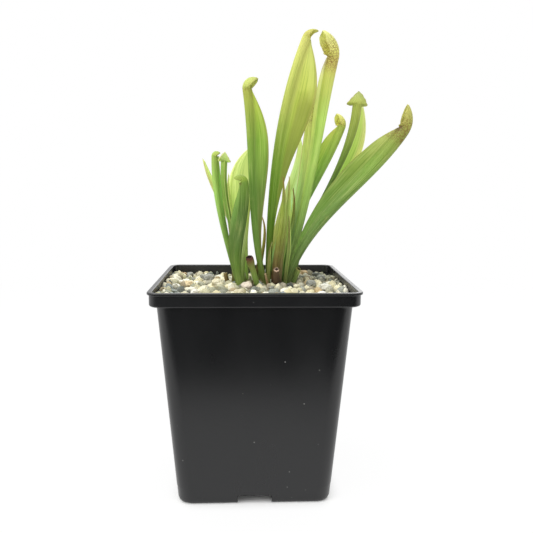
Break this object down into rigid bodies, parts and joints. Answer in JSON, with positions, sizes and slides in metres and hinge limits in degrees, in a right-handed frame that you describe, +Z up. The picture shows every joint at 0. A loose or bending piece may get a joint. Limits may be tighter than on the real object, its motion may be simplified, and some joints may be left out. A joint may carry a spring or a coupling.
{
  "type": "potted pitcher plant",
  "caption": "Tapered square nursery pot of gravel-topped potting mix holding a clump of upright hooded pitcher leaves on a short rhizome.",
  "frame": {"origin": "under the middle of the whole plant's bounding box, at the level of the pot's foot; the pot's centre line stands at x = -0.0176 m because the leaves overhang one side", "axes": "+Z up along the pot's height; +X towards the leaning pitcher; +Y towards the back of the pot"},
  "size_m": [0.1352, 0.1, 0.2383],
  "materials": {
    "black_plastic": "satin moulded black polypropylene",
    "potting_mix": "moist peat and bark fines",
    "rhizome": "rough brown rhizome skin",
    "gravel": "mixed grey and cream grit",
    "pebble": "matt water-worn pebble",
    "leaf_green": "fresh waxy leaf",
    "leaf_lime": "fresh waxy yellow-green leaf",
    "leaf_dark": "fresh waxy dark green leaf",
    "leaf_pale": "thin pale leaf",
    "leaf_red": "young leaf flushed red-brown",
    "leaf_straw": "dry withered sheath"
  },
  "bodies": {
    "root": {"dry_strand_front": "leaf_straw", "dry_strand_rear": "leaf_straw", "gravel_bed": "gravel", "leaf_narrow_left": "leaf_pale", "leaf_pale_left": "leaf_pale", "leaf_pale_middle": "leaf_pale", "leaf_pale_right": "leaf_pale", "leaf_strap_left": "leaf_pale", "leaf_thin_front": "leaf_pale", "leaf_young_left": "leaf_red", "pitcher_helmet": "leaf_green", "pitcher_hooked_left": "leaf_green", "pitcher_leaning_right": "leaf_dark", "pitcher_middle_rear": "leaf_green", "pitcher_rear_right": "leaf_lime", "pitcher_short_front": "leaf_dark", "pitcher_slim_left": "leaf_green", "pitcher_slim_right": "leaf_dark", "pitcher_tall_left": "leaf_green", "pitcher_tallest": "leaf_lime", "pot": "black_plastic", "potting_mix": "potting_mix", "rhizome": "rhizome", "sheath_left": "leaf_straw", "sprout_curved": "leaf_red", "sprout_front": "leaf_lime", "sprout_red": "leaf_red", "stone_amber": "pebble", "stone_buff_front": "pebble", "stone_buff_left": "pebble", "stone_buff_right": "pebble", "stone_chalk_front": "pebble", "stone_cream_front": "pebble", "stone_cream_large": "pebble", "stone_cream_rear_left": "pebble", "stone_dark_right": "pebble", "stone_grey_edge": "pebble", "stone_grey_front": "pebble", "stone_grey_left": "pebble", "stone_grey_rear": "pebble", "stone_grey_rear_left": "pebble", "stone_grey_right": "pebble", "stone_pale_right": "pebble", "stone_pink": "pebble", "stone_slate_front": "pebble", "stone_tan_front": "pebble", "stone_tan_rear_left": "pebble", "stone_tan_rear_right": "pebble", "stone_white_edge": "pebble", "stone_white_front": "pebble", "stone_white_left": "pebble", "stub_capped": "leaf_green", "stub_left": "leaf_dark", "stub_right": "leaf_green", "stub_ringed": "leaf_straw", "young_pitcher": "leaf_red", "young_pitcher_right": "leaf_red", "young_pitcher_short": "leaf_lime", "young_pitcher_twin": "leaf_red"}
  },
  "joints": []
}
